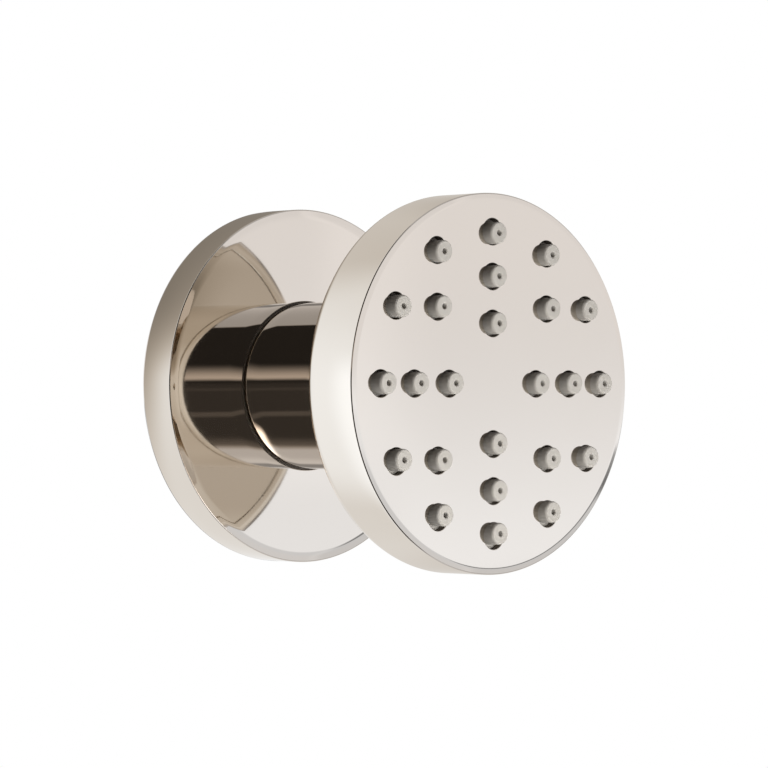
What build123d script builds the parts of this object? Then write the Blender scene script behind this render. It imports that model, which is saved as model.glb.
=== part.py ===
"""Round shower body jet: wall flange, neck with a ball swivel, and a spray head with soft nozzles.

Millimetres. The jet sprays along -Y, +Z is up, and the origin is the centre of the wall flange's
back face, on the wall. Every piece is turned or drilled about the jet's axis, so it is drawn as
(radius, distance from the wall) and laid along the axis when it is written out.
"""
import os
from math import sqrt

from build123d import *

# From the wall to the spray face
reach = 66.1

# Wall flange
flange_radius = 37.1
flange_depth = 9.7
flange_face = 2.5            # thickness of the mirror face
flange_rim = 3.0             # thickness of the rim at the wall
flange_ledge = 2.0           # step inside the rim that the gasket sits on
flange_back_round = 1.6      # rounding of the rim's edge at the wall
flange_roll_width = 2.1      # the mirror face rolls off towards its edge over this width
flange_roll_drop = 0.5       # and by this depth

# Foam gasket on the wall
gasket_thickness = 2.5
gasket_width = 4.5

# Neck, from the spigot that reaches through the flange to the mouth of the swivel
spigot_wall = 4.7
spigot_chamfer = 0.8
foot_undercut = 0.22         # how far the neck draws in towards its foot
foot_round_length = 5.0      # length over which it does so
foot_recess = 1.2            # how deep the foot is let into the flange's face
foot_gap = 0.47              # from the foot to the wall of that recess
foot_seal_height = 0.6       # the rubber ring in the gap stays this low
neck_wall = 3.3              # wall outside the collar's thread
neck_end_round = 0.8
grip_ring_width = 1.6
grip_ring_depth = 1.0        # depth of its groove in the spigot
grip_ring_stand = 0.8        # how far it stands out of the groove

# Inlet for a half-inch supply nipple
inlet_radius = 9.3
inlet_step = 0.3             # the pocket for the washer is narrower than the thread
washer_thickness = 2.0
washer_width = 1.9
screen_thickness = 1.0
screen_mesh = 0.4
screen_rim = 2.4
screen_hole = 0.8
screen_pitch = 2.2

# Flow regulator
regulator_shoulder = 2.1     # step between the washer's pocket and the regulator
regulator_length = 5.5
regulator_wall = 1.5
regulator_core = 2.4
regulator_floor = 1.2
regulator_rib = 1.0
control_ring_section = 1.2
regulator_seal_width = 1.4
regulator_seal_depth = 0.8
passage_radius = 5.0
web_thickness = 2.5          # wall between the regulator and the ball's chamber

# Ball swivel
ball_radius = 11.2
ball_bore = 4.0
ball_back_gap = 0.5
seat_wall = 2.0              # ring left outside the ball at its widest
rear_seat_tail = 3.5         # the ball's back end stands out of the rear seat by this much
rear_seat_front = 1.5        # the rear seat's other end, behind the ball's centre
front_seat_back = 1.3        # the front seat's ends, before the ball's centre
front_seat_front = 5.5
cushion_thickness = 1.8
cushion_width = 2.6
collar_thread_step = 0.95    # how far the collar's thread lies outside the seats
collar_length = 3.0
collar_ball_gap = 0.45       # play of the ball in the collar's throat
collar_flare = 2.3           # how far the throat opens towards the head
collar_slot_width = 2.0
collar_slot_depth = 1.2
stem_radius = 6.5
shoulder_radius = 9.0
shoulder_thickness = 2.0
stem_washer_thickness = 1.0
stem_end_gap = 0.5

# Spray head
head_gap = 5.75              # from the neck's mouth to the back of the head
cover_thickness = 3.5
cover_edge = 0.3             # chamfer that shows as a seam
cover_seal_width = 1.6
cover_seal_depth = 1.1
hub_radius = 10.0
spanner_hole_radius = 1.5
spanner_hole_depth = 2.0
spanner_hole_place = 24.0
chamber_height = 4.9         # water space between the cover and the backing plate
hub_clearance = 1.6          # from the hub to the backing plate
plate_thickness = 2.0
plate_rim = 1.1
mat_thickness = 1.5
face_thickness = 2.2
face_border = 7.73           # from the outer ring of holes to the edge of the head
cover_border = 3.9           # from the outer ring of holes to the cover's opening
mat_undercut = 0.8           # how far the mat's groove lies outside that opening
head_back_round = 3.0
head_back_land = 0.4         # flat that is left, at the least, between this rounding and the cover
head_roll_width = 1.05       # the spray face rolls off towards its edge over this width
head_roll_drop = 0.25        # and by this depth

# Nozzles
inner_ring = 12.04
inner_to_middle = 9.37
middle_to_outer = 8.96
inner_count = 4
middle_count = 8
outer_count = 12
face_hole_radius = 2.7
mat_shrink = 0.3             # the soft mat's rings lie this much inside the holes
nozzle_radius = 2.2
nozzle_reach = 1.7
nozzle_shoulder = 0.55
orifice_radius = 0.5
feed_radius = 1.4

# Clearances
thread_gap = 0.05
running_gap = 0.05
loose_gap = 0.1

# Where the pieces lie along the axis, from the spray face back to the wall
nozzle_tip = reach + nozzle_reach
face_inside = reach - face_thickness
mat_back = face_inside - mat_thickness
plate_back = mat_back - plate_thickness
cover_inside = plate_back - chamber_height
hub_front = plate_back - hub_clearance
head_back = cover_inside - cover_thickness
neck_end = head_back - head_gap
collar_back = neck_end - collar_length
front_seat_end = collar_back - running_gap
ball_centre = front_seat_end - front_seat_front
rear_seat_start = ball_centre - ball_radius + rear_seat_tail
cushion_ledge = rear_seat_start - cushion_thickness - running_gap
chamber_floor = ball_centre - ball_radius - ball_back_gap
pocket_floor = chamber_floor - web_thickness
inlet_floor = pocket_floor - regulator_length
screen_back = inlet_floor - screen_thickness
washer_back = screen_back - washer_thickness
flange_inside = flange_depth - flange_face
recess_floor = flange_depth - foot_recess
spigot_back = 0.0

# Radii that follow from one another, from the inside outwards
spigot_radius = inlet_radius + spigot_wall
washer_pocket = inlet_radius - inlet_step
regulator_radius = washer_pocket - regulator_shoulder
pocket_radius = regulator_radius + loose_gap
socket_radius = ball_radius + seat_wall + running_gap
collar_radius = socket_radius + collar_thread_step
neck_radius = collar_radius + neck_wall
foot_radius = neck_radius - foot_undercut
recess_radius = foot_radius + foot_gap
ledge_radius = flange_radius - flange_rim
cup_radius = ledge_radius - flange_ledge
middle_ring = inner_ring + inner_to_middle
outer_ring = middle_ring + middle_to_outer
opening_radius = outer_ring + cover_border
cavity_radius = opening_radius + mat_undercut
head_radius = outer_ring + face_border
cover_radius = opening_radius - thread_gap

hole_rings = (
    (inner_ring, inner_count),
    (middle_ring, middle_count),
    (outer_ring, outer_count),
)


def turned(*outline):
    """Solid turned about the axis from a closed outline of (radius, distance) edges."""
    return revolve(Plane.XZ * make_face(list(outline)), Axis.Z)


def turned_corners(*corners):
    """Solid turned from an outline with straight sides only."""
    return turned(Polyline(*corners, close=True))


def ring(inner, outer, start, end):
    """Plain ring between two radii and two distances."""
    return turned_corners((inner, start), (outer, start), (outer, end), (inner, end))


def on_rings(tool, shrink=0.0):
    """Copies of a tool at every hole of the face, each ring starting straight up."""
    copies = []
    for radius, count in hole_rings:
        places = PolarLocations(radius - shrink, count, start_angle=90)
        copies += [place * tool for place in places]
    return copies


def rolled_edge(radius, front, width, drop):
    """Quarter ellipse by which a polished face rolls off into its side wall."""
    return EllipticalCenterArc((radius - width, front - drop), width, drop, start_angle=0, arc_size=90)


def round_corner(start, end, radius):
    """Convex quarter round from one point of an outline to the next, both on its tangents."""
    return RadiusArc(start, end, radius)


def wall_flange():
    """Shallow cup: mirror face with a recess for the foot, rolled edge, and a ledge for the gasket."""
    hole = spigot_radius + loose_gap
    back_corner = (flange_radius - flange_back_round, 0)
    side_start = (flange_radius, flange_back_round)
    front_edge = rolled_edge(flange_radius, flange_depth, flange_roll_width, flange_roll_drop)
    inside = Polyline(
        back_corner,
        (ledge_radius, 0),
        (ledge_radius, gasket_thickness),
        (cup_radius, gasket_thickness),
        (cup_radius, flange_inside),
        (hole, flange_inside),
        (hole, recess_floor),
        (recess_radius, recess_floor),
        (recess_radius, flange_depth),
        front_edge @ 1,
    )
    return turned(
        inside,
        front_edge,
        Line(front_edge @ 0, side_start),
        round_corner(side_start, back_corner, flange_back_round),
    )


def wall_gasket():
    """Foam ring inside the rim, flush with the wall."""
    outer = ledge_radius - loose_gap
    return ring(outer - gasket_width, outer, 0, gasket_thickness)


def neck_barrel():
    """Turned neck: flange spigot and inlet behind, drawn-in foot, and the swivel's socket in front."""
    groove_bottom = spigot_radius - grip_ring_depth
    groove_back = flange_inside - grip_ring_width
    foot_edge = (foot_radius, flange_depth)
    foot_end = (neck_radius, flange_depth + foot_round_length)
    round_start = (neck_radius, neck_end - neck_end_round)
    round_end = (neck_radius - neck_end_round, neck_end)
    foot_round = TangentArc(foot_end, foot_edge, tangent=(0, -1))
    spigot = Polyline(
        (inlet_radius, spigot_back),
        (spigot_radius - spigot_chamfer, spigot_back),
        (spigot_radius, spigot_back + spigot_chamfer),
        (spigot_radius, groove_back),
        (groove_bottom, groove_back),
        (groove_bottom, flange_inside),
        (spigot_radius, flange_inside),
        (spigot_radius, recess_floor),
        (foot_radius, recess_floor),
        foot_edge,
    )
    collar_floor = front_seat_end - collar_thread_step
    chamber_radius = socket_radius - cushion_width - running_gap
    inside = Polyline(
        round_end,
        (collar_radius, neck_end),
        (collar_radius, collar_floor),
        (socket_radius, collar_floor),
        (socket_radius, cushion_ledge),
        (chamber_radius, cushion_ledge),
        (chamber_radius, chamber_floor),
        (passage_radius, chamber_floor),
        (passage_radius, pocket_floor),
        (pocket_radius, pocket_floor),
        (pocket_radius, inlet_floor),
        (washer_pocket, inlet_floor),
        (washer_pocket, washer_back),
        (inlet_radius, washer_back),
        (inlet_radius, spigot_back),
    )
    return turned(
        spigot,
        foot_round,
        Line(foot_end, round_start),
        round_corner(round_start, round_end, -neck_end_round),
        inside,
    )


def flange_grip_ring():
    """Square-cut rubber ring in the spigot's groove, against the inside of the flange."""
    inner = spigot_radius - grip_ring_depth + thread_gap
    return ring(inner, spigot_radius + grip_ring_stand, flange_inside - grip_ring_width, flange_inside)


def foot_seal():
    """Rubber ring at the bottom of the gap between the foot and the flange's recess."""
    return ring(
        foot_radius + thread_gap, recess_radius - thread_gap, recess_floor, recess_floor + foot_seal_height
    )


def inlet_washer():
    """Flat rubber washer that the end of the supply nipple presses on."""
    outer = washer_pocket - loose_gap
    return ring(outer - washer_width, outer, washer_back, screen_back)


def filter_screen():
    """Strainer: a stiff rim and a thin disc with a hexagonal field of holes."""
    outer = washer_pocket - loose_gap
    inner = outer - screen_rim
    rim = ring(inner, outer, screen_back, inlet_floor)
    mesh = Pos(0, 0, screen_back) * extrude(Circle(inner), screen_mesh)
    hole = Pos(0, 0, screen_back) * extrude(Circle(screen_hole), screen_mesh)
    rows = int((inner - screen_hole) / screen_pitch)
    holes = [place * hole for place in HexLocations(screen_pitch / 2, 2 * rows + 1, 2 * rows + 1)
             if place.position.length + screen_hole < inner]
    return rim + (mesh - holes)


def regulator_body():
    """Open cage of the flow regulator: outer wall with a seal groove, ribs and a tapered core."""
    groove_back = pocket_floor - regulator_floor - regulator_seal_width
    groove_bottom = regulator_radius - regulator_seal_depth
    bore = regulator_radius - regulator_wall
    wall = turned_corners(
        (bore, inlet_floor),
        (regulator_radius, inlet_floor),
        (regulator_radius, groove_back),
        (groove_bottom, groove_back),
        (groove_bottom, groove_back + regulator_seal_width),
        (regulator_radius, groove_back + regulator_seal_width),
        (regulator_radius, pocket_floor),
        (bore, pocket_floor),
    )
    rib_back = pocket_floor - regulator_floor
    core = Pos(0, 0, inlet_floor) * Cone(
        regulator_core / 2, regulator_core, regulator_length, align=(Align.CENTER, Align.CENTER, Align.MIN)
    )
    rib = Pos(0, 0, rib_back) * Box(
        2 * bore + regulator_wall, regulator_rib, regulator_floor, align=(Align.CENTER, Align.CENTER, Align.MIN)
    )
    return wall + core + rib + Rot(0, 0, 90) * rib


def control_ring():
    """Elastic ring round the core, which narrows the flow as the pressure rises."""
    inner = regulator_core + loose_gap
    rib_back = pocket_floor - regulator_floor
    return ring(inner, inner + control_ring_section, rib_back - control_ring_section, rib_back)


def regulator_seal():
    """Square-cut ring that seals the regulator in its pocket."""
    inner = regulator_radius - regulator_seal_depth + thread_gap
    start = pocket_floor - regulator_floor - regulator_seal_width
    return ring(inner, pocket_radius - thread_gap, start, start + regulator_seal_width)


def seat_cushion():
    """Rubber ring that pushes the rear seat against the ball."""
    outer = socket_radius - running_gap
    return ring(outer - cushion_width, outer, cushion_ledge, cushion_ledge + cushion_thickness)


def ball_seat(start, end):
    """Plastic ring with a hollow that fits the ball, between two distances."""
    blank = ring(ball_bore, socket_radius - running_gap, start, end)
    return blank - Pos(0, 0, ball_centre) * Sphere(ball_radius + running_gap)


def rear_seat():
    """Seat behind the ball."""
    return ball_seat(rear_seat_start, ball_centre - rear_seat_front)


def front_seat():
    """Seat before the ball, under the collar."""
    return ball_seat(ball_centre + front_seat_back, front_seat_end)


def swivel_ball():
    """Hollow ball with a stem: shoulder for the washer, and a thread into the head's hub."""
    shoulder_front = head_back - stem_washer_thickness
    shoulder_back = shoulder_front - shoulder_thickness
    stem_end = hub_front - stem_end_gap
    back_edge = (ball_bore, ball_centre - sqrt(ball_radius**2 - ball_bore**2))
    front_edge = (stem_radius, ball_centre + sqrt(ball_radius**2 - stem_radius**2))
    thread = stem_radius - thread_gap
    stem = Polyline(
        front_edge,
        (stem_radius, shoulder_back),
        (shoulder_radius, shoulder_back),
        (shoulder_radius, shoulder_front),
        (thread, shoulder_front),
        (thread, stem_end),
        (ball_bore, stem_end),
        back_edge,
    )
    return turned(ThreePointArc(back_edge, (ball_radius, ball_centre), front_edge), stem)


def retaining_collar():
    """Ring nut in the neck's mouth, with a flared opening and two slots for a spanner."""
    outer = collar_radius - thread_gap
    throat = sqrt(ball_radius**2 - (collar_back - ball_centre) ** 2) + collar_ball_gap
    nut = turned_corners(
        (throat, collar_back),
        (outer, collar_back),
        (outer, neck_end),
        (throat + collar_flare, neck_end),
    )
    slot = Pos(0, 0, neck_end) * Box(2 * collar_radius, collar_slot_width, 2 * collar_slot_depth)
    return nut - slot


def stem_washer():
    """Flat fibre washer between the ball's shoulder and the back cover."""
    return ring(stem_radius, shoulder_radius, head_back - stem_washer_thickness, head_back)


def back_cover():
    """Screwed-in cover of the head: seal groove round its edge, hub for the stem, spanner holes."""
    groove_end = cover_inside - cover_seal_width / 2
    groove_start = groove_end - cover_seal_width
    groove_bottom = cover_radius - cover_seal_depth
    cover = turned_corners(
        (stem_radius, head_back),
        (cover_radius - cover_edge, head_back),
        (cover_radius, head_back + cover_edge),
        (cover_radius, groove_start),
        (groove_bottom, groove_start),
        (groove_bottom, groove_end),
        (cover_radius, groove_end),
        (cover_radius, cover_inside),
        (hub_radius, cover_inside),
        (hub_radius, hub_front),
        (stem_radius, hub_front),
    )
    hole = Pos(0, 0, head_back) * Cylinder(spanner_hole_radius, 2 * spanner_hole_depth)
    return cover - [place * hole for place in PolarLocations(spanner_hole_place, 2)]


def cover_seal():
    """Square-cut ring in the cover's groove, against the bore of the shell."""
    end = cover_inside - cover_seal_width / 2
    inner = cover_radius - cover_seal_depth + thread_gap
    return ring(inner, opening_radius, end - cover_seal_width, end)


def backing_plate():
    """Plate that presses the mat to the face: a feed hole to each nozzle and a rim to the cover."""
    outer = opening_radius - loose_gap
    disc = Pos(0, 0, plate_back) * extrude(Circle(outer), plate_thickness)
    rim = ring(outer - plate_rim, outer, cover_inside, plate_back)
    hole = Pos(0, 0, plate_back) * extrude(Circle(feed_radius), plate_thickness)
    return disc + rim - on_rings(hole, mat_shrink)


def nozzle_mat():
    """Silicone mat with a soft, round-shouldered nozzle for every hole, fed through a tapered bore."""
    disc = Pos(0, 0, mat_back) * extrude(Circle(cavity_radius - loose_gap), mat_thickness)
    shoulder_start = (nozzle_radius, nozzle_tip - nozzle_shoulder)
    shoulder_end = (nozzle_radius - nozzle_shoulder, nozzle_tip)
    feed_end = (orifice_radius, reach)
    nozzle = turned(
        Polyline(
            shoulder_end,
            (orifice_radius, nozzle_tip),
            feed_end,
            (feed_radius, mat_back),
            (nozzle_radius, mat_back),
            shoulder_start,
        ),
        round_corner(shoulder_start, shoulder_end, -nozzle_shoulder),
    )
    seat = Pos(0, 0, mat_back) * extrude(Circle(nozzle_radius), mat_thickness)
    return disc - on_rings(seat, mat_shrink) + on_rings(nozzle, mat_shrink)


def head_shell():
    """Face and side wall in one, open behind for the cover, drilled for the nozzles."""
    front_edge = rolled_edge(head_radius, reach, head_roll_width, head_roll_drop)
    back_round = min(head_back_round, head_radius - opening_radius - head_back_land)
    side_end = (head_radius, head_back + back_round)
    back_corner = (head_radius - back_round, head_back)
    cup = Polyline(
        back_corner,
        (opening_radius, head_back),
        (opening_radius, mat_back),
        (cavity_radius, mat_back),
        (cavity_radius, face_inside),
        (0, face_inside),
        (0, reach),
        front_edge @ 1,
    )
    shell = turned(
        cup,
        front_edge,
        Line(front_edge @ 0, side_end),
        round_corner(side_end, back_corner, back_round),
    )
    hole = Pos(0, 0, face_inside) * extrude(Circle(face_hole_radius), face_thickness)
    return shell - on_rings(hole)


pieces = (
    wall_flange,
    wall_gasket,
    flange_grip_ring,
    foot_seal,
    neck_barrel,
    inlet_washer,
    filter_screen,
    regulator_body,
    control_ring,
    regulator_seal,
    seat_cushion,
    rear_seat,
    front_seat,
    swivel_ball,
    retaining_collar,
    stem_washer,
    back_cover,
    cover_seal,
    backing_plate,
    nozzle_mat,
    head_shell,
)

os.makedirs("parts", exist_ok=True)
for piece in pieces:
    export_step(Rot(90, 0, 0) * piece(), f"parts/{piece.__name__}.step")
print(f"ball centre {ball_centre:.2f}, head {head_back:.2f} to {reach:.2f}, tip {nozzle_tip:.2f}")
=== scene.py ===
"""A round shower body jet in polished nickel with soft silicone nozzles, dressed over its solid model.

The jet sprays along -Y from the wall plane at y = 0. Sizes are in millimetres: a radius from the
jet's axis and a distance from the wall, turned into metres where a mesh is made.
"""

import bpy
import numpy as np
from mathutils import Matrix, Vector
from mathutils.geometry import delaunay_2d_cdt


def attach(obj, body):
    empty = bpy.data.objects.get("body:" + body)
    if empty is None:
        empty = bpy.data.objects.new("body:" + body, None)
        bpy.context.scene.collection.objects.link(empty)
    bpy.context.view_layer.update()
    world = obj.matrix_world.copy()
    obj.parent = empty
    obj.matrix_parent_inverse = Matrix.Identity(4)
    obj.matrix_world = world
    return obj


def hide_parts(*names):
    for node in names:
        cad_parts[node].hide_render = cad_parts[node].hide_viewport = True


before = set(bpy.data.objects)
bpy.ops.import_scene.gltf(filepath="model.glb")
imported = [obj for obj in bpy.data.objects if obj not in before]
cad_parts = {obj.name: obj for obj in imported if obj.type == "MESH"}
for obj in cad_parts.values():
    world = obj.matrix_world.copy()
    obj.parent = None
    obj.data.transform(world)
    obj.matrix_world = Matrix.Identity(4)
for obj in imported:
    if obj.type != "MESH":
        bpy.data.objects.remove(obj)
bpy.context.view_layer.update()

# Neck barrel. One brass turning, nickel plated and buffed to a mirror outside and left as turned
# inside. Its spigot reaches through the flange, its drawn-in foot sits in a recess of the flange
# with a dark gap all round, and the supply nipple screws into its back end.


def straight(start, end, rows=6):
    """Rows along a straight side, closer together near both ends: t = (1 - cos(pi k / n)) / 2."""
    t = (1 - np.cos(np.pi * np.arange(rows) / rows)) / 2
    return np.outer(1 - t, start) + np.outer(t, end)


def rounded(centre, radii, first, last, rows=12):
    """Rows round an elliptic corner: centre + (a cos t, b sin t), t running evenly in degrees."""
    t = np.radians(first + (last - first) * np.arange(rows) / rows)
    return np.asarray(centre) + np.stack([radii[0] * np.cos(t), radii[1] * np.sin(t)], axis=1)


def corners(*points):
    """Rows at plain corners, one to each point (r, a)."""
    return np.asarray(points, float)


def lathe_points(profile, steps):
    """Turns profile rows (r, a) about the axis: (x, y, z) = (r cos t, -a, r sin t) / 1000."""
    t = 2 * np.pi * np.arange(steps) / steps
    radius, distance = np.asarray(profile)[:, 0:1], np.asarray(profile)[:, 1:2]
    flat = np.broadcast_to(-distance, (len(distance), steps))
    return np.stack([radius * np.cos(t), flat, radius * np.sin(t)], axis=2).reshape(-1, 3) / 1000


def lathe_faces(rows, steps, closed):
    """Quads between neighbouring rows of a turned grid, the last row joined to the first if closed."""
    row = np.arange(rows if closed else rows - 1)[:, None]
    step = np.arange(steps)[None, :]
    after, beside = (row + 1) % rows, (step + 1) % steps
    around = [(row, step), (row, beside), (after, beside), (after, step)]
    return np.stack([r * steps + s for r, s in around], axis=2).reshape(-1, 4)


def mesh_piece(name, points, faces, finishes, face_finish=None, crisp=24):
    """Object at the origin from points and faces, smooth but for edges sharper than crisp degrees."""
    mesh = bpy.data.meshes.new(name)
    mesh.from_pydata(points.tolist(), [], [list(face) for face in faces])
    for finish in finishes:
        mesh.materials.append(finish)
    if face_finish is not None:
        mesh.polygons.foreach_set("material_index", np.asarray(face_finish, np.int32))
    mesh.shade_smooth()
    mesh.set_sharp_from_angle(angle=np.radians(crisp))
    piece = bpy.data.objects.new(name, mesh)
    bpy.context.scene.collection.objects.link(piece)
    return piece


class Wire:
    """A node's output in shader arithmetic: operators on wires and numbers add Math nodes."""

    def __init__(self, tree, socket=None):
        self.tree, self.socket = tree, socket

    def node(self, kind, settings=None, inputs=None, out=0):
        """One node of a kind: its settings first, then a value or a wire on each input."""
        made = self.tree.nodes.new(kind)
        for key, value in (settings or {}).items():
            setattr(made, key, value)
        for key, value in (inputs or {}).items():
            if isinstance(value, Wire):
                self.tree.links.new(value.socket, made.inputs[key])
            else:
                made.inputs[key].default_value = value
        return Wire(self.tree, made.outputs[out])

    def math(self, operation, first, second=0.0):
        """One Math node, on wires or numbers."""
        return self.node("ShaderNodeMath", {"operation": operation}, {0: first, 1: second})

    def __add__(self, other):
        return self.math("ADD", self, other)

    def __sub__(self, other):
        return self.math("SUBTRACT", self, other)

    def __rsub__(self, other):
        return self.math("SUBTRACT", other, self)

    def __mul__(self, other):
        return self.math("MULTIPLY", self, other)

    __radd__ = __add__
    __rmul__ = __mul__

    def between(self, low, high, start=0.0, end=1.0):
        """Smooth step of this value from low to high, mapped to start and end."""
        return self.node(
            "ShaderNodeMapRange",
            {"interpolation_type": "SMOOTHSTEP"},
            {"Value": self, "From Min": low, "From Max": high, "To Min": start, "To Max": end},
        )

    def noise(self, scale, detail=3.0, roughness=0.5):
        """Noise over this vector, from 0 to 1."""
        return self.node(
            "ShaderNodeTexNoise",
            {},
            {"Vector": self, "Scale": scale, "Detail": detail, "Roughness": roughness},
        )

    def tint(self, dark, light):
        """Colour between two colours, by this value from 0 to 1."""
        ends = {0: self, 6: (*dark, 1), 7: (*light, 1)}
        return self.node("ShaderNodeMix", {"data_type": "RGBA"}, ends, out=2)

    def bump(self, strength, distance):
        """Normal of a surface raised by this height: its strength, and its depth in metres."""
        return self.node(
            "ShaderNodeBump", {}, {"Height": self, "Strength": strength, "Distance": distance}
        )

    def split(self):
        """The x, y and z of this vector."""
        made = self.node("ShaderNodeSeparateXYZ", {}, {0: self}).socket.node
        return [Wire(self.tree, output) for output in made.outputs]

    def length(self):
        """Length of this vector."""
        return self.node("ShaderNodeVectorMath", {"operation": "LENGTH"}, {0: self}, out=1)

    def feed(self, output):
        """Links this shader to the surface of an output node."""
        self.tree.links.new(self.socket, output.inputs[0])


def new_finish(name):
    """A material with only a Principled shader: the material, the shader and the object's coordinates."""
    finish = bpy.data.materials.new(name)
    finish.use_nodes = True
    shader = finish.node_tree.nodes["Principled BSDF"]
    place = Wire(finish.node_tree).node("ShaderNodeTexCoord", out=3)
    return finish, shader, place


def plug(shader, **inputs):
    """Links wires, or sets plain values, on a shader's named sockets."""
    for name, value in inputs.items():
        socket = shader.inputs[name.replace("_", " ")]
        if isinstance(value, Wire):
            value.tree.links.new(value.socket, socket)
        else:
            socket.default_value = value


def polished_nickel():
    """Mirror plate: warm white metal with a faint cloud of buffing haze and a trace of unevenness."""
    finish, shader, place = new_finish("polished_nickel")
    cloud = place.noise(34.0, detail=4.0)
    fine = place.noise(900.0, detail=2.0)
    plug(
        shader,
        Base_Color=cloud.tint((0.775, 0.720, 0.652), (0.800, 0.746, 0.676)),
        Roughness=0.022 + 0.03 * cloud.between(0.35, 0.75) + 0.012 * fine,
        Normal=place.noise(70.0, detail=1.0).bump(0.012, 0.0006),
        Metallic=1.0,
    )
    return finish


def turned_nickel():
    """Plated but unbuffed metal: fine rings left by the lathe tool, and a duller, patchy sheen."""
    finish, shader, place = new_finish("turned_nickel")
    rings = place.node(
        "ShaderNodeTexWave",
        {"wave_type": "RINGS", "rings_direction": "Y", "wave_profile": "SIN"},
        {"Vector": place, "Scale": 760.0, "Distortion": 0.6, "Detail": 2.0},
    )
    patch = place.noise(120.0, detail=4.0)
    plug(
        shader,
        Base_Color=patch.tint((0.60, 0.545, 0.47), (0.70, 0.645, 0.565)),
        Roughness=0.26 + 0.14 * patch,
        Normal=(rings + 0.4 * patch).bump(0.22, 0.00004),
        Metallic=1.0,
    )
    return finish


nickel = polished_nickel()
nickel_inside = turned_nickel()

hair = 0.05  # rows this close to a corner keep it crisp
flange_face, recess_floor, neck_mouth = 9.7, 8.5, 46.25
neck_radius, neck_end_round = 17.5, 0.8
foot_radius, foot_end, foot_rows = 17.28, 14.7, 4
foot_draw, foot_length = neck_radius - foot_radius, foot_end - flange_face
foot_bow = (foot_length**2 + foot_draw**2) / (2 * foot_draw)
foot_turn = np.degrees(np.arcsin(foot_length / foot_bow))
spigot_radius, spigot_chamfer = 14.0, 0.8
grip_groove, grip_back, grip_front = 13.0, 5.6, 7.2
inlet_mouth, thread_radius = 9.9, 9.3
thread_outer, thread_inner, thread_end = 0.4, 14.5, 15.0
thread_pitch, thread_depth, thread_fade, thread_count = 1.814, 1.1, 1.6, 96
washer_radius, washer_floor = 9.0, 18.0
regulator_radius, regulator_floor = 7.0, 23.5
passage_radius, passage_end = 5.0, 26.0
cushion_radius, chamber_floor = 10.6, 28.15
chamber_radius, collar_floor, collar_thread = 13.25, 42.25, 14.2
spigot = corners(
    (inlet_mouth, 0), (spigot_radius - spigot_chamfer, 0), (spigot_radius, spigot_chamfer),
    (spigot_radius, grip_back), (grip_groove, grip_back), (grip_groove, grip_front),
    (spigot_radius, grip_front), (spigot_radius, recess_floor),
)
neck_outside = np.concatenate([
    spigot,
    straight((spigot_radius + hair, recess_floor), (foot_radius, recess_floor), foot_rows),
    straight((foot_radius, recess_floor), (foot_radius, flange_face), 4),
    rounded((neck_radius - foot_bow, foot_end), (foot_bow, foot_bow), -foot_turn, 0, 16),
    straight((neck_radius, foot_end), (neck_radius, neck_mouth - neck_end_round), 24),
    rounded(
        (neck_radius - neck_end_round, neck_mouth - neck_end_round), (neck_end_round, neck_end_round), 0, 90
    ),
    straight((neck_radius - neck_end_round, neck_mouth), (collar_thread, neck_mouth), 5),
])
neck_inside = corners(
    (collar_thread, neck_mouth), (collar_thread, collar_floor), (chamber_radius, collar_floor),
    (chamber_radius, chamber_floor), (cushion_radius, chamber_floor), (cushion_radius, passage_end),
    (passage_radius, passage_end), (passage_radius, regulator_floor), (regulator_radius, regulator_floor),
    (regulator_radius, washer_floor), (washer_radius, washer_floor), (washer_radius, thread_end),
    (thread_radius, thread_end), (thread_radius, thread_inner + 2 * hair),
)
thread_places = np.linspace(thread_inner, thread_outer, thread_count)
thread_rows = np.stack([np.full(thread_count, thread_radius), thread_places], axis=1)
neck_profile = np.concatenate([neck_outside, neck_inside, thread_rows])
neck_steps = 320
neck_points = lathe_points(neck_profile, neck_steps).reshape(len(neck_profile), neck_steps, 3)


def pipe_thread(points, distance):
    """Cuts a pipe thread into bore rows: the wall moves out by the depth times a rounded saw of the
    phase a / pitch - t / (2 pi), fading over the last turn at both ends."""
    turn = np.arange(points.shape[1]) / points.shape[1]
    phase = distance[:, None] / thread_pitch - turn[None, :]
    saw = np.clip(1.25 - 2.5 * np.abs(phase - np.floor(phase) - 0.5), 0, 1)
    to_end = np.minimum(distance - thread_outer, thread_inner - distance)
    fade = np.clip(to_end / thread_fade, 0, 1)[:, None]
    grow = 1 + thread_depth * saw * fade / thread_radius
    return points * np.stack([grow, np.ones_like(grow), grow], axis=2)


first_thread = len(neck_outside) + len(neck_inside)
neck_points[first_thread:] = pipe_thread(neck_points[first_thread:], thread_places)
neck_rows = np.repeat(np.arange(len(neck_profile)), neck_steps)
neck = mesh_piece(
    "neck_barrel_polished",
    neck_points.reshape(-1, 3),
    lathe_faces(len(neck_profile), neck_steps, closed=True),
    [nickel, nickel_inside],
    (neck_rows >= len(neck_outside) - 1) | (neck_rows < len(spigot) + foot_rows),
)
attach(neck, "base")
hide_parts("neck_barrel")

# Wall flange. A brass cup with a flat mirror face that rolls off gently to a crisp edge, a straight
# rim, a ledge inside the rim for the gasket and a recess for the neck's foot. Polished outside, as
# turned inside.
flange_radius, recess_radius, broken_edge = 37.1, 17.75, 0.14
flange_roll, flange_soft, roll_slope, crisp_edge = 2.3, 14.0, 5.0, 0.25
flange_back_round, spigot_hole, flange_floor = 1.6, 14.1, 7.2
ledge_radius, ledge_floor, rim_inside, rim_break = 32.1, 2.5, 34.1, 0.2


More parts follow.
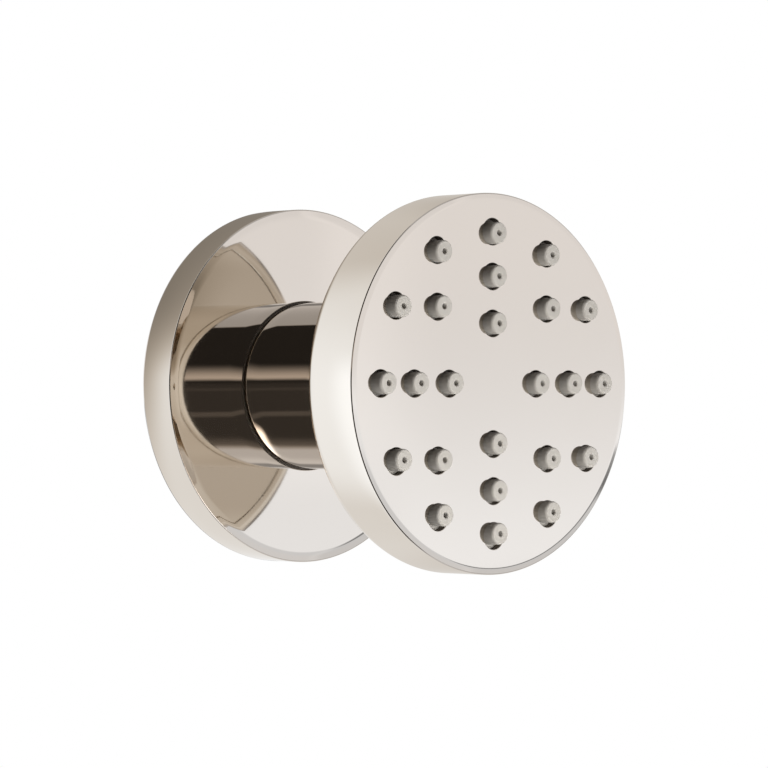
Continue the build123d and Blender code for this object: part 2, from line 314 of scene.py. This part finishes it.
def buffed_edge(radius, face, width, soft):
    """Edge a buffing wheel leaves, from the side wall inwards: a small crisp arc, a straight cone of
    the roll's slope, and a soft arc that meets the flat face at the width from the side."""
    turn, start = np.radians(roll_slope), radius - width
    cone_in = (start + soft * np.sin(turn), face - soft * (1 - np.cos(turn)))
    cone_out = radius - crisp_edge * (1 - np.sin(turn))
    fall = cone_in[1] - (cone_out - cone_in[0]) * np.tan(turn)
    arc_centre = (radius - crisp_edge, fall - crisp_edge * np.cos(turn))
    return np.concatenate([
        rounded(arc_centre, (crisp_edge, crisp_edge), 0, 90 - roll_slope, 9),
        straight((cone_out, fall), cone_in, 8),
        rounded((start, face - soft), (soft, soft), 90 - roll_slope, 90, 9),
    ])


flange_edge = buffed_edge(flange_radius, flange_face, flange_roll, flange_soft)
back_round = (flange_radius - flange_back_round, flange_back_round)
recess_edge = (recess_radius + broken_edge, flange_face - broken_edge)
flange_outside = np.concatenate([
    straight((rim_inside + rim_break, 0), (back_round[0], 0), 4),
    rounded(back_round, (flange_back_round, flange_back_round), -90, 0, 18),
    straight((flange_radius, flange_back_round), flange_edge[0], 14),
    flange_edge,
    straight((flange_radius - flange_roll, flange_face), (recess_edge[0], flange_face), 24),
    rounded(recess_edge, (broken_edge, broken_edge), 90, 180, 6),
])
flange_inside = corners(
    (recess_radius, recess_edge[1]), (recess_radius, recess_floor), (spigot_hole, recess_floor),
    (spigot_hole, flange_floor), (ledge_radius, flange_floor), (ledge_radius, ledge_floor),
    (rim_inside, ledge_floor), (rim_inside, rim_break),
)
flange_profile = np.concatenate([flange_outside, flange_inside])
flange_steps = 512
flange = mesh_piece(
    "wall_flange_polished",
    lathe_points(flange_profile, flange_steps),
    lathe_faces(len(flange_profile), flange_steps, closed=True),
    [nickel, nickel_inside],
    np.repeat(np.arange(len(flange_profile)), flange_steps) >= len(flange_outside),
)
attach(flange, "base")
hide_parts("wall_flange")

# Wall gasket. A ring die-cut from black closed-cell foam, pressed into the rim and flush with the
# wall; its skin shows small bubbles.


def carried_over(node, finish):
    """Gives a node of the solid model, shown as it is, its own finish."""
    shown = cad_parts[node]
    shown.data.materials.clear()
    shown.data.materials.append(finish)


foam, foam_shader, foam_place = new_finish("gasket_foam")
bubbles = foam_place.node("ShaderNodeTexVoronoi", {"feature": "F1"}, {"Vector": foam_place, "Scale": 1500.0})
plug(
    foam_shader,
    Base_Color=bubbles.between(0.1, 0.7).tint((0.012, 0.012, 0.012), (0.05, 0.05, 0.05)),
    Roughness=0.8 + 0.15 * bubbles,
    Normal=bubbles.bump(0.6, 0.0002),
)
carried_over("wall_gasket", foam)

# Grip ring, inlet washer and the other seals. Nitrile rubber, cut or moulded, matt with a slight
# bloom; each sits in its own groove or on its shoulder. All are black but for the foot's ring, a
# dark grey one low in the gap between the foot and the flange.


def sealing_rubber(name, dark, light):
    """Matt rubber: a patchy bloom over the surface, and a fine grain."""
    finish, shader, place = new_finish(name)
    bloom = place.noise(260.0, detail=5.0, roughness=0.6)
    plug(
        shader,
        Base_Color=bloom.tint(dark, light),
        Roughness=0.5 + 0.25 * bloom,
        Normal=place.noise(2200.0).bump(0.3, 0.00005),
    )
    return finish


rubber = sealing_rubber("seal_rubber", (0.012, 0.012, 0.013), (0.045, 0.044, 0.042))
for seal in (
    "flange_grip_ring", "inlet_washer", "control_ring", "regulator_seal", "seat_cushion", "cover_seal"
):
    carried_over(seal, rubber)
carried_over("foot_seal", sealing_rubber("foot_seal_rubber", (0.20, 0.18, 0.16), (0.26, 0.235, 0.21)))

# Filter screen. A stamped stainless strainer with a hexagonal field of holes, lightly brushed one
# way, so that its grain is long across and fine upright.
steel, steel_shader, steel_place = new_finish("screen_steel")
grain_scale = (60.0, 60.0, 3200.0)
stretched = steel_place.node("ShaderNodeMapping", {}, {"Vector": steel_place, "Scale": grain_scale})
brushing = stretched.noise(1.0, detail=4.0)
plug(
    steel_shader,
    Base_Color=brushing.tint((0.42, 0.42, 0.41), (0.60, 0.60, 0.58)),
    Roughness=0.24 + 0.2 * brushing,
    Normal=brushing.bump(0.15, 0.00003),
    Metallic=1.0,
)
carried_over("filter_screen", steel)

# Flow regulator. A moulded blue cage behind the screen, with the fine spark texture of its mould;
# the other plastic pieces are moulded the same way in their own colours.


def moulded(name, dark, light, gloss, grain):
    """Moulded plastic: a slow drift of colour, and the mould's fine grain in gloss and relief."""
    finish, shader, place = new_finish(name)
    drift, spark = place.noise(90.0), place.noise(grain, roughness=0.6)
    plug(
        shader,
        Base_Color=drift.tint(dark, light),
        Roughness=gloss + 0.16 * spark,
        Normal=spark.bump(0.25, 0.00005),
    )
    return finish


cage_blue = moulded("regulator_plastic", (0.05, 0.13, 0.22), (0.07, 0.17, 0.28), gloss=0.34, grain=1800.0)
carried_over("regulator_body", cage_blue)

# Ball seats and backing plate. Natural acetal, milky and slightly waxy: the seats hug the ball, and
# the plate presses the mat to the face.
acetal = moulded("seat_plastic", (0.66, 0.65, 0.61), (0.74, 0.73, 0.69), gloss=0.36, grain=1400.0)
for seat in ("rear_seat", "front_seat", "backing_plate"):
    carried_over(seat, acetal)

# Swivel ball. A brass ball and hollow stem in one turning, nickel plated and polished so that it
# turns sweetly in its seats; the shoulder bears on the washer and the thread enters the cover's hub.
ball_radius, ball_centre, ball_bore, bore_rows = 11.2, 37.7, 4.0, (50.0, 40.0, 30.0)
stem_radius, stem_thread, stem_end = 6.5, 6.45, 58.3
shoulder_radius, shoulder_back, shoulder_front, shoulder_break = 9.0, 49.0, 51.0, 0.2
shoulder_flat = shoulder_radius - shoulder_break
side_start, side_end = shoulder_back + shoulder_break, shoulder_front - shoulder_break
back_angle = -np.degrees(np.arccos(ball_bore / ball_radius))
front_angle = np.degrees(np.arccos(stem_radius / ball_radius))
stem_start = ball_centre + np.sqrt(ball_radius**2 - stem_radius**2)
broken_shoulder = (shoulder_break, shoulder_break)
ball_profile = np.concatenate([
    rounded((0, ball_centre), (ball_radius, ball_radius), back_angle, front_angle, 64),
    straight((stem_radius, stem_start), (stem_radius, shoulder_back), 4),
    straight((stem_radius, shoulder_back), (shoulder_flat, shoulder_back), 3),
    rounded((shoulder_flat, side_start), broken_shoulder, -90, 0, 4),
    straight((shoulder_radius, side_start), (shoulder_radius, side_end), 4),
    rounded((shoulder_flat, side_end), broken_shoulder, 0, 90, 4),
    corners((shoulder_flat, shoulder_front), (stem_thread, shoulder_front), (stem_thread, stem_end)),
    corners((ball_bore, stem_end), *[(ball_bore, distance) for distance in bore_rows]),
])
ball_steps = 256
ball = mesh_piece(
    "swivel_ball_polished",
    lathe_points(ball_profile, ball_steps),
    lathe_faces(len(ball_profile), ball_steps, closed=True),
    [nickel],
)
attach(ball, "head")
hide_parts("swivel_ball")

# Retaining collar. A ring nut in the neck's mouth, with a flared throat and two spanner slots,
# plated but not buffed.
carried_over("retaining_collar", nickel_inside)

# Stem washer. A stamped ring of red-brown pressed fibre with a felted grain, held between the
# ball's shoulder and the back cover.
fibre = moulded("pressed_fibre", (0.16, 0.065, 0.035), (0.25, 0.11, 0.06), gloss=0.62, grain=2600.0)
carried_over("stem_washer", fibre)

# Back cover. A turned disc screwed into the back of the head, polished on its outer side; its
# chamfered edge shows as a fine seam, and two blind holes take a pin spanner.


def pierced(rings, distance):
    """Flat sheet at one distance, bounded by its first round ring of points and open inside the others:
    a constrained Delaunay net of all rings, less each triangle whose middle lies nearer to a hole's
    centre than the hole's radius. Returns the points and triangles facing the spray."""
    counts = [len(ring) for ring in rings]
    starts = np.cumsum([0] + counts[:-1])
    loops = [
        start + np.stack([np.arange(count), (np.arange(count) + 1) % count], axis=1)
        for start, count in zip(starts, counts)
    ]
    flat = [Vector(point) for point in np.concatenate(rings)]
    made = delaunay_2d_cdt(flat, np.concatenate(loops).tolist(), [], 1, 1e-7)
    net, triangles = np.asarray([list(point) for point in made[0]]), np.asarray(made[2])
    centres = np.stack([ring.mean(axis=0) for ring in rings[1:]])
    radii = np.stack([np.linalg.norm(ring[0] - ring.mean(axis=0)) for ring in rings[1:]])
    inside_chords = 1 - 0.2 * (2 * np.pi / np.asarray(counts[1:])) ** 2
    middles = net[triangles].mean(axis=1)
    apart = np.linalg.norm(middles[:, None] - centres[None], axis=2)
    triangles = triangles[(apart > radii * inside_chords).all(axis=1)]
    points = np.stack([net[:, 0], np.full(len(net), -distance), net[:, 1]], axis=1) / 1000
    first, second, third = (net[triangles[:, k]] for k in range(3))
    backwards = np.cross(second - first, third - first) < 0
    triangles[backwards] = triangles[backwards][:, ::-1]
    return points, triangles


def circle(centre, radius, steps):
    """Points round a circle in the face plane: centre + radius (cos t, sin t)."""
    t = 2 * np.pi * np.arange(steps) / steps
    return np.asarray(centre) + radius * np.stack([np.cos(t), np.sin(t)], axis=1)


def welded(parts):
    """Joins parts, each points and faces with a finish, and merges points that agree to a micrometre,
    so that seams close and a quad at a pole becomes a triangle."""
    points = np.concatenate([part[0] for part in parts])
    shift = np.cumsum([0] + [len(part[0]) for part in parts[:-1]])
    micrometres = np.round(points * 1e6).astype(np.int64)
    _, first, inverse = np.unique(micrometres, axis=0, return_index=True, return_inverse=True)
    inverse = inverse.reshape(-1)
    faces, finishes = [], []
    for part, start in zip(parts, shift):
        faces += [list(dict.fromkeys(face)) for face in inverse[np.asarray(part[1]) + start].tolist()]
        finishes += np.broadcast_to(part[2], len(part[1])).tolist()
    return points[first], faces, finishes


head_back, cover_radius, cover_front, cover_chamfer = 52.0, 34.22, 55.5, 0.3
groove_radius, groove_back, groove_front = 33.12, 53.1, 54.7
hub_radius, hub_end, hub_bore, bore_land = 10.0, 58.8, 6.5, 0.1
spanner_radius, spanner_place, spanner_floor, spanner_break, drill_point = 1.5, 24.0, 54.0, 0.1, 0.4
cover_steps, spanner_steps = 512, 48
cover_flat = cover_radius - cover_chamfer - hair
cover_profile = np.concatenate([
    straight((cover_flat, head_back), (cover_radius - cover_chamfer, head_back), 2),
    corners(
        (cover_radius - cover_chamfer, head_back), (cover_radius, head_back + cover_chamfer),
        (cover_radius, groove_back), (groove_radius, groove_back), (groove_radius, groove_front),
        (cover_radius, groove_front), (cover_radius, cover_front), (hub_radius, cover_front),
        (hub_radius, hub_end), (hub_bore, hub_end),
    ),
    straight((hub_bore, head_back), (hub_bore + bore_land, head_back), 2),
    corners((hub_bore + bore_land, head_back)),
])
spanner_places = [(spanner_place, 0.0), (-spanner_place, 0.0)]
cover_sheet, cover_net = pierced(
    [circle((0, 0), cover_flat, cover_steps), circle((0, 0), hub_bore + bore_land, cover_steps)]
    + [circle(place, spanner_radius, spanner_steps) for place in spanner_places],
    head_back,
)
spanner_profile = corners(
    (spanner_radius, head_back), (spanner_radius, spanner_floor - spanner_break),
    (spanner_radius - spanner_break, spanner_floor), (0.6 * spanner_radius, spanner_floor + drill_point / 2),
    (0.0, spanner_floor + drill_point),
)
spanner_wall = lathe_points(spanner_profile, spanner_steps)
spanner_faces = lathe_faces(len(spanner_profile), spanner_steps, closed=False)[:, ::-1]
cover_parts = [
    (lathe_points(cover_profile, cover_steps), lathe_faces(len(cover_profile), cover_steps, closed=False), 0),
    (cover_sheet, cover_net[:, ::-1], 0),
]
for place in spanner_places:
    offset = np.array([place[0], 0.0, place[1]]) / 1000
    cover_parts.append((spanner_wall + offset, spanner_faces, 1))
cover_points, cover_faces, cover_finish = welded(cover_parts)
cover = mesh_piece("back_cover_polished", cover_points, cover_faces, [nickel, nickel_inside], cover_finish)
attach(cover, "head")
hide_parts("back_cover")

# Nozzle mat. One moulding in pale grey silicone: a flat mat with a collar in every hole of the face
# and a short, soft-shouldered nozzle on it, whose flared orifice is fed through a taper from behind.
# The mat shrinks on its outer ring and sits a touch high, so a dark gap shows on one side.
hole_rings = ((12.04, 4), (21.41, 8), (30.37, 12))
shrinkage, mat_lift = (0.05, 0.05, 0.40), 0.10


def ring_places(shrinks, lift):
    """Centres on three rings, each starting straight up: (radius - shrink) (cos t, sin t) + (0, lift)."""
    rings = []
    for (radius, count), shrink in zip(hole_rings, shrinks):
        t = np.pi / 2 + 2 * np.pi * np.arange(count) / count
        rings.append((radius - shrink) * np.stack([np.cos(t), np.sin(t)], axis=1))
    return np.concatenate(rings) + np.array([0, lift])


def repeated(points, faces, places):
    """Copies one turned shape to many places across the face; places may differ from row to row."""
    offsets = np.stack([places[..., 0], np.zeros(places.shape[:-1]), places[..., 1]], axis=-1) / 1000
    moved = (points[None] + offsets).reshape(-1, 3)
    numbered = faces[None] + (np.arange(len(places)) * len(points))[:, None, None]
    return moved, numbered.reshape(-1, faces.shape[1])


silicone, silicone_shader, silicone_place = new_finish("nozzle_silicone")
cast = silicone_place.noise(420.0, detail=4.0)
skin = silicone_place.noise(5200.0, detail=2.0)
plug(
    silicone_shader,
    Base_Color=cast.tint((0.385, 0.362, 0.325), (0.445, 0.422, 0.385)),
    Roughness=0.48 + 0.2 * cast,
    Normal=skin.bump(0.15, 0.00004),
    Subsurface_Weight=0.3,
    Subsurface_Radius=(0.7, 0.7, 0.65),
    Subsurface_Scale=0.001,
)

spray_face, mat_front, mat_back = 66.1, 63.9, 62.4
nozzle_tip, nozzle_radius, orifice, flare, feed = 68.15, 2.2, 0.55, 0.3, 1.4
tip_round, tip_rise, nozzle_collar, nozzle_collar_top = 0.4, 0.7, 2.66, 64.4
nozzle_steps, mat_steps, mat_radius = 64, 256, 34.97
round_start, round_centre = nozzle_tip - tip_rise, nozzle_radius - tip_round
collar_profile = corners((nozzle_collar, mat_front), (nozzle_collar, nozzle_collar_top))
nozzle_profile = np.concatenate([
    collar_profile,
    straight((nozzle_radius, nozzle_collar_top), (nozzle_radius, round_start), 8),
    rounded((round_centre, round_start), (tip_round, tip_rise), 0, 90, 20),
    straight((round_centre, nozzle_tip), (orifice + flare, nozzle_tip), 6),
    rounded((orifice + flare, nozzle_tip - flare), (flare, flare), 90, 180, 10),
    straight((orifice, nozzle_tip - flare), (orifice, spray_face), 4),
    corners((orifice, spray_face), (feed, mat_back)),
])
hole_places, nozzle_places = ring_places((0.0, 0.0, 0.0), 0.0), ring_places(shrinkage, mat_lift)
in_collar = np.arange(len(nozzle_profile) * nozzle_steps) < len(collar_profile) * nozzle_steps
nozzle_points, nozzle_faces = repeated(
    lathe_points(nozzle_profile, nozzle_steps),
    lathe_faces(len(nozzle_profile), nozzle_steps, closed=False),
    np.where(in_collar[None, :, None], hole_places[:, None], nozzle_places[:, None]),
)
rim_profile = corners((mat_radius, mat_back), (mat_radius, mat_front))
mat_edge = circle((0, 0), mat_radius, mat_steps)
front_sheet, front_net = pierced(
    [mat_edge] + [circle(place, nozzle_collar, nozzle_steps) for place in hole_places], mat_front
)
rear_sheet, rear_net = pierced(
    [mat_edge] + [circle(place, feed, nozzle_steps) for place in nozzle_places], mat_back
)
mat_points, mat_faces, _ = welded([
    (nozzle_points, nozzle_faces, 0),
    (lathe_points(rim_profile, mat_steps), lathe_faces(len(rim_profile), mat_steps, closed=False), 0),
    (front_sheet, front_net, 0),
    (rear_sheet, rear_net[:, ::-1], 0),
])
mat = mesh_piece("nozzle_mat_silicone", mat_points, mat_faces, [silicone])
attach(mat, "head")
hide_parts("nozzle_mat")

# Head shell. Face and side wall turned from one piece of brass, nickel plated and buffed to a
# mirror; the face rolls off to a crisp edge, the back edge is well rounded, and a drilled hole with
# a lightly broken edge lets each nozzle through. The straight wall of each hole is dull metal painted
# dark: painted shade for the gap round the nozzle.
head_radius, head_round, opening, opening_break, cavity, cavity_land = 38.1, 3.0, 34.27, 0.15, 35.07, 0.1
face_roll, face_soft, face_land = 1.4, 6.0, 0.2
hole_radius, hole_edge, hole_land, hole_middle, shaded_wall_rows = 2.7, 0.12, 0.03, 64.6, 2
shell_steps, hole_steps = 512, 64
face_flat = head_radius - face_roll
hole_rim = hole_radius + hole_edge
shell_edge = buffed_edge(head_radius, spray_face, face_roll, face_soft)
shell_profile = np.concatenate([
    straight((cavity - cavity_land, mat_front), (cavity, mat_front), 2),
    corners((cavity, mat_front), (cavity, mat_back), (opening, mat_back)),
    straight((opening, mat_back - cavity_land), (opening, head_back + opening_break), 4),
    corners((opening, head_back + opening_break), (opening + opening_break, head_back)),
    straight((opening + opening_break + hair, head_back), (head_radius - head_round, head_back)),
    rounded((head_radius - head_round, head_back + head_round), (head_round, head_round), -90, 0, 28),
    straight((head_radius, head_back + head_round), shell_edge[0], 16),
    shell_edge,
    straight((face_flat, spray_face), (face_flat - face_land, spray_face), 3),
    corners((face_flat - face_land, spray_face)),
])
# Hole wall: dull metal, partly its own finish and partly painted shade. Its colour is made near black so that
# the gap round each nozzle stays dark, with a patchy film across it.
dull_wall_painted_shade, shaded_wall_shader, shaded_wall_place = new_finish("drilled_wall_painted_shade")
film = shaded_wall_place.noise(900.0, detail=4.0)
plug(
    shaded_wall_shader,
    Base_Color=film.tint((0.11, 0.09, 0.075), (0.17, 0.145, 0.12)),
    Roughness=0.45 + 0.25 * film,
    Normal=film.bump(0.2, 0.00005),
    Metallic=0.6,
)
hole_profile = np.concatenate([
    corners((hole_radius, mat_front), (hole_radius, hole_middle)),
    rounded((hole_rim, spray_face - hole_edge), (hole_edge, hole_edge), 180, 90, 5),
    corners((hole_rim, spray_face), (hole_rim + hole_land, spray_face)),
])
hole_points, hole_faces = repeated(
    lathe_points(hole_profile, hole_steps),
    lathe_faces(len(hole_profile), hole_steps, closed=False)[:, ::-1],
    hole_places[:, None],
)
hole_rows = np.arange(len(hole_faces)) // hole_steps % (len(hole_profile) - 1)
face_sheet, face_net = pierced(
    [circle((0, 0), face_flat - face_land, shell_steps)]
    + [circle(place, hole_rim + hole_land, hole_steps) for place in hole_places],
    spray_face,
)
back_sheet, back_net = pierced(
    [circle((0, 0), cavity - cavity_land, shell_steps)]
    + [circle(place, hole_radius, hole_steps) for place in hole_places],
    mat_front,
)
shell_points, shell_faces, shell_finish = welded([
    (lathe_points(shell_profile, shell_steps), lathe_faces(len(shell_profile), shell_steps, closed=False), 0),
    # The straight wall of each hole takes the dark finish with painted shade; its broken edge stays polished.
    (hole_points, hole_faces, (hole_rows < shaded_wall_rows) * 2),
    (face_sheet, face_net, 0),
    (back_sheet, back_net[:, ::-1], 1),
])
shell_finishes = [nickel, nickel_inside, dull_wall_painted_shade]
shell = mesh_piece("head_shell_polished", shell_points, shell_faces, shell_finishes, shell_finish)
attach(shell, "head")
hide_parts("head_shell")

# Floor. A wide pale sheet well below the jet, fading to the white surround at its edge; it isn't
# mirrored in the metal.
floor_drop, floor_steps, floor_rings = 200, 96, (0.0, 120, 260, 420, 600, 780, 960)
floor_finish, floor_shader, floor_place = new_finish("pale_floor")
floor_tree = floor_finish.node_tree
patches = floor_place.noise(3.0, detail=2.0)
plug(floor_shader, Base_Color=patches.tint((0.86, 0.86, 0.855), (0.90, 0.90, 0.895)), Roughness=0.7)
fading = floor_place.length().between(0.35, 0.95)
white = floor_place.node("ShaderNodeEmission", {}, {"Color": (1, 1, 1, 1), "Strength": 1.0})
sheet = Wire(floor_tree, floor_shader.outputs[0])
faded = floor_place.node("ShaderNodeMixShader", {}, {0: fading, 1: sheet, 2: white})
faded.feed(floor_tree.nodes["Material Output"])
floor_profile = corners(*[(radius, 0) for radius in floor_rings])
floor_disc = lathe_points(floor_profile, floor_steps)[:, [0, 2, 1]] - np.array([0, 0, floor_drop / 1000])
floor_net = lathe_faces(len(floor_profile), floor_steps, closed=False)[:, ::-1]
floor_points, floor_faces, _ = welded([(floor_disc, floor_net, 0)])
floor = mesh_piece("pale_floor", floor_points, floor_faces, [floor_finish])
floor.visible_glossy = False

# Wall. A white board round the flange, there only as a reflection: darker where the flange shades it,
# overhead and on the right, brightest on the left. Its levels run over places in millimetres.


def mirrored_ring(name, finish, radii, distance, steps=128):
    """Flat ring round the jet's axis at one distance, hidden from all but mirror rays."""
    profile = corners(*[(radius, distance) for radius in radii])
    net = lathe_faces(len(profile), steps, closed=False)
    ring = mesh_piece(name, lathe_points(profile, steps), net, [finish])
    ring.visible_camera = ring.visible_diffuse = False
    ring.visible_shadow = ring.visible_transmission = False
    return ring


board_rings, board_distance = (37.4, 60, 120, 240, 420), -0.2
board_finish, board_shader, board_place = new_finish("white_wall")
board_tree = board_finish.node_tree
board_tree.nodes.remove(board_shader)
across_board, _, up_board = board_place.split()
sideways, upright = across_board * 1000, up_board * 1000
outwards = board_place.length() * 1000
lateral = sideways.between(-34.0, -70.0, 0.0, 0.20) + sideways.between(0.0, 50.0, 0.0, -0.15)
overhead = upright.between(0.0, 90.0, 0.0, -0.22)
lower = upright.between(0.0, -80.0, 0.0, -0.05) + upright.between(-70.0, -140.0, 0.0, -0.10)
from_level = upright.math("ABSOLUTE", upright)
behind_head = sideways.between(30.0, 50.0, 0.0, -0.12) * from_level.between(34.0, 28.0)
open_wall = 0.93 + lateral + overhead + lower + behind_head
shade_reach = 45.0 + upright.between(0.0, 36.0, 0.0, 30.0) + upright.between(0.0, -36.0, 0.0, -5.0)
shaded = outwards.between(36.5, shade_reach)
far_glow = outwards.between(90.0, 97.0, 0.0, 0.18) * upright.between(30.0, 0.0)
under_rim = upright.between(-34.0, 22.0, 0.95, 0.26)
wall_level = under_rim + shaded * (open_wall - under_rim) + far_glow
wall_colour = wall_level.between(0.25, 1.3).tint((1.0, 0.90, 0.78), (0.96, 1.0, 1.05))
wall_glow = board_place.node("ShaderNodeEmission", {}, {"Color": wall_colour, "Strength": wall_level})
wall_glow.feed(board_tree.nodes["Material Output"])
board = mirrored_ring("white_wall", board_finish, board_rings, board_distance)

# Dark card. A narrow curved card low on the left in front of the head, seen only as a reflection: it
# keeps the bright panel of the surround off the head's front edge, which shows a fine dark line.
card_rings, card_distance = (36.0, 44.0, 53.0), 80.0
card_finish, card_shader, card_place = new_finish("dark_card")
card_tree = card_finish.node_tree
card_tree.nodes.remove(card_shader)
across_card, _, up_card = card_place.split()
card_shade = (across_card * 1000).between(-8.0, -14.0) * (up_card * 1000).between(-2.0, -8.0)
card_clear = card_place.node("ShaderNodeBsdfTransparent")
card_dark = card_place.node("ShaderNodeEmission", {}, {"Color": (1.0, 0.9, 0.8, 1), "Strength": 0.03})
card_mix = card_place.node("ShaderNodeMixShader", {}, {0: card_shade, 1: card_clear, 2: card_dark})
card_mix.feed(card_tree.nodes["Material Output"])
card = mirrored_ring("dark_card", card_finish, card_rings, card_distance)

# Surround. A white studio that leaves the camera's own side dark, with one bright strip there, and
# grows darker overhead; the background itself is plain white. Bearings run from the spray's way
# towards +X and heights from the horizon, in degrees.
world = bpy.data.worlds.new("white_studio")
world.use_nodes = True
bpy.context.scene.world = world
world_tree = world.node_tree
world_tree.nodes.clear()
way = Wire(world_tree).node("ShaderNodeTexCoord", out=0)
across, along, rise = way.split()
ahead = 0 - along
bearing = across.math("ARCTAN2", across, ahead) * (180 / np.pi)
height = across.math("ARCSINE", rise) * (180 / np.pi)

# Where the surround is white: to the right of an edge, far to the left, and underneath.
edge = height.between(6.0, 32.0, 20.0, 1.6)
softness = height.between(28.0, 38.0, 7.0, 1.2)
right_edge = bearing.between(edge - softness, edge + softness)
below = height.between(-8.0, -30.0)
low_edge = bearing.between(-1.0, 10.5)
right_side = right_edge + below * (low_edge - right_edge)
left_side = bearing.between(-92.0, -122.0)
underneath = height.between(-48.0, -66.0) * bearing.between(-10.0, 40.0)
lit = across.math("MAXIMUM", across.math("MAXIMUM", right_side, left_side), underneath)

# How white it is: a level that falls off upwards and well below, less a dark line for the head's
# lower edge and one for each edge of the neck, with small steps between the flange's bearings and
# the spray face's.
horizon = height.between(-3.2, 1.6, 1.155, 0.91)
overhead_fall = height.between(1.0, 44.0, 0.0, -0.445)
low_fall = height.between(-2.5, -5.0, 0.0, -0.27) + height.between(-30.0, -37.0, 0.0, -0.13)
line_depth = height.between(-2.5, -3.2, 0.0, -0.70) + height.between(-4.6, -5.8, 0.0, 0.56)
head_line = line_depth * bearing.between(42.2, 43.4)
neck_low_line = height.between(-11.0, -16.0, 0.0, -0.46) + height.between(-23.0, -28.0, 0.0, 0.46)
neck_high_line = height.between(12.5, 15.0, 0.0, -0.46) * height.between(24.0, 20.5)
near_gain = bearing.between(43.6, 42.2, 0.0, 0.06)
near_low_loss = bearing.between(43.2, 41.9, 0.0, -0.15) * height.between(-0.2, -1.6)
level_band = height.between(2.2, 0.6) * height.between(-2.5, -1.0)
near_level_gain = bearing.between(42.9, 41.9, 0.0, 0.05) * level_band
flange_high_loss = bearing.between(41.9, 41.3, 0.0, -0.065) * height.between(-1.0, 0.5)
falls = overhead_fall + low_fall
lines = head_line + neck_low_line + neck_high_line
bearing_steps = near_gain + near_low_loss + near_level_gain + flange_high_loss
white_level = horizon + falls + lines + bearing_steps

# What the dark side holds: a faint glow, the bright strip and two glints. A bright panel stands low
# in front.
strip_rise = height.between(4.0, 8.0, 0.0, 0.56) * height.between(20.0, 5.5)
strip = strip_rise * bearing.between(-80.0, -60.0)
level_glint = height.between(-1.0, -2.6, 0.0, 0.02) * height.between(-5.0, -3.4)
low_glint = height.between(-21.5, -23.5, 0.0, 0.06) * height.between(-27.5, -25.0)
faint_glow = 0.020 + 0.022 * height.between(5.0, 0.0) + 0.1 * below * bearing.between(-15.0, 3.0)
dark_level = faint_glow + strip + level_glint + low_glint
panel_width = bearing.between(-22.0, -9.0) * bearing.between(27.0, 21.0)
panel = 2.4 * ahead.between(0.78, 0.81) * panel_width * height.between(-12.0, -18.0)
level = dark_level + lit * (white_level - dark_level) + panel

# Its colour: warm in the dark, neutral in the white and cool just below the horizon.
cool = lit * height.between(3.0, -2.4) * height.between(-14.0, -6.0)
lit_tint = cool.tint((1.0, 0.985, 1.005), (0.95, 0.98, 1.04))
dark_tint = (1.12, 0.98, 0.88, 1)
tint = way.node("ShaderNodeMix", {"data_type": "RGBA"}, {0: lit, 6: dark_tint, 7: lit_tint}, out=2)
glow = way.node("ShaderNodeBackground", {}, {"Color": tint, "Strength": level})
plain = way.node("ShaderNodeBackground", {}, {"Color": (1, 1, 1, 1), "Strength": 1.0})
seen = way.node("ShaderNodeLightPath", out=0)
shown = way.node("ShaderNodeMixShader", {}, {0: seen, 1: glow, 2: plain})
shown.feed(world_tree.nodes.new("ShaderNodeOutputWorld"))

# Key light. A soft panel below and in front of the jet that lights the silicone but isn't mirrored
# in the metal.
key_size, key_power = 0.16, 0.6
key_place, key_aim = Vector((-0.03, -0.27, -0.08)), Vector((0, -0.05, 0))
key_data = bpy.data.lights.new("soft_key", "AREA")
key_data.shape, key_data.size, key_data.energy = "DISK", key_size, key_power
key = bpy.data.objects.new("soft_key", key_data)
key.location = key_place
key.rotation_euler = (key_aim - key_place).to_track_quat("-Z", "Y").to_euler()
key.visible_glossy = key.visible_camera = False
bpy.context.scene.collection.objects.link(key)

# Camera. Level with the jet's axis, 42 degrees to its left, with a long lens. Its stand is given
# along its own back, right and up directions in millimetres, and its focal length in pixels.
stand_back, stand_right, stand_up = 793.645, 22.872, 0.361
focal_pixels, picture_pixels, sensor = 3734.783, 768, 36.0
view, lift, roll = np.radians([-42.496, -0.38, -0.203])
back = np.array([np.sin(view) * np.cos(lift), -np.cos(view) * np.cos(lift), np.sin(lift)])
right = np.array([np.cos(view), np.sin(view), 0.0])
up = np.cross(back, right)
stand = (stand_back * back + stand_right * right + stand_up * up) / 1000
right, up = right * np.cos(roll) + up * np.sin(roll), up * np.cos(roll) - right * np.sin(roll)
camera_data = bpy.data.cameras.new("camera")
camera_data.sensor_width, camera_data.lens = sensor, focal_pixels * sensor / picture_pixels
camera_data.clip_start, camera_data.clip_end = 0.01, 20.0
camera = bpy.data.objects.new("camera", camera_data)
camera_rows = np.column_stack([right, up, back, stand]).tolist()
camera.matrix_world = Matrix(camera_rows + [[0, 0, 0, 1]])
bpy.context.scene.collection.objects.link(camera)
bpy.context.scene.camera = camera

# Colours are shown as they are, and light may pass to and fro between the mirror faces.
bpy.context.scene.view_settings.view_transform = "Standard"
bpy.context.scene.cycles.glossy_bounces = 12
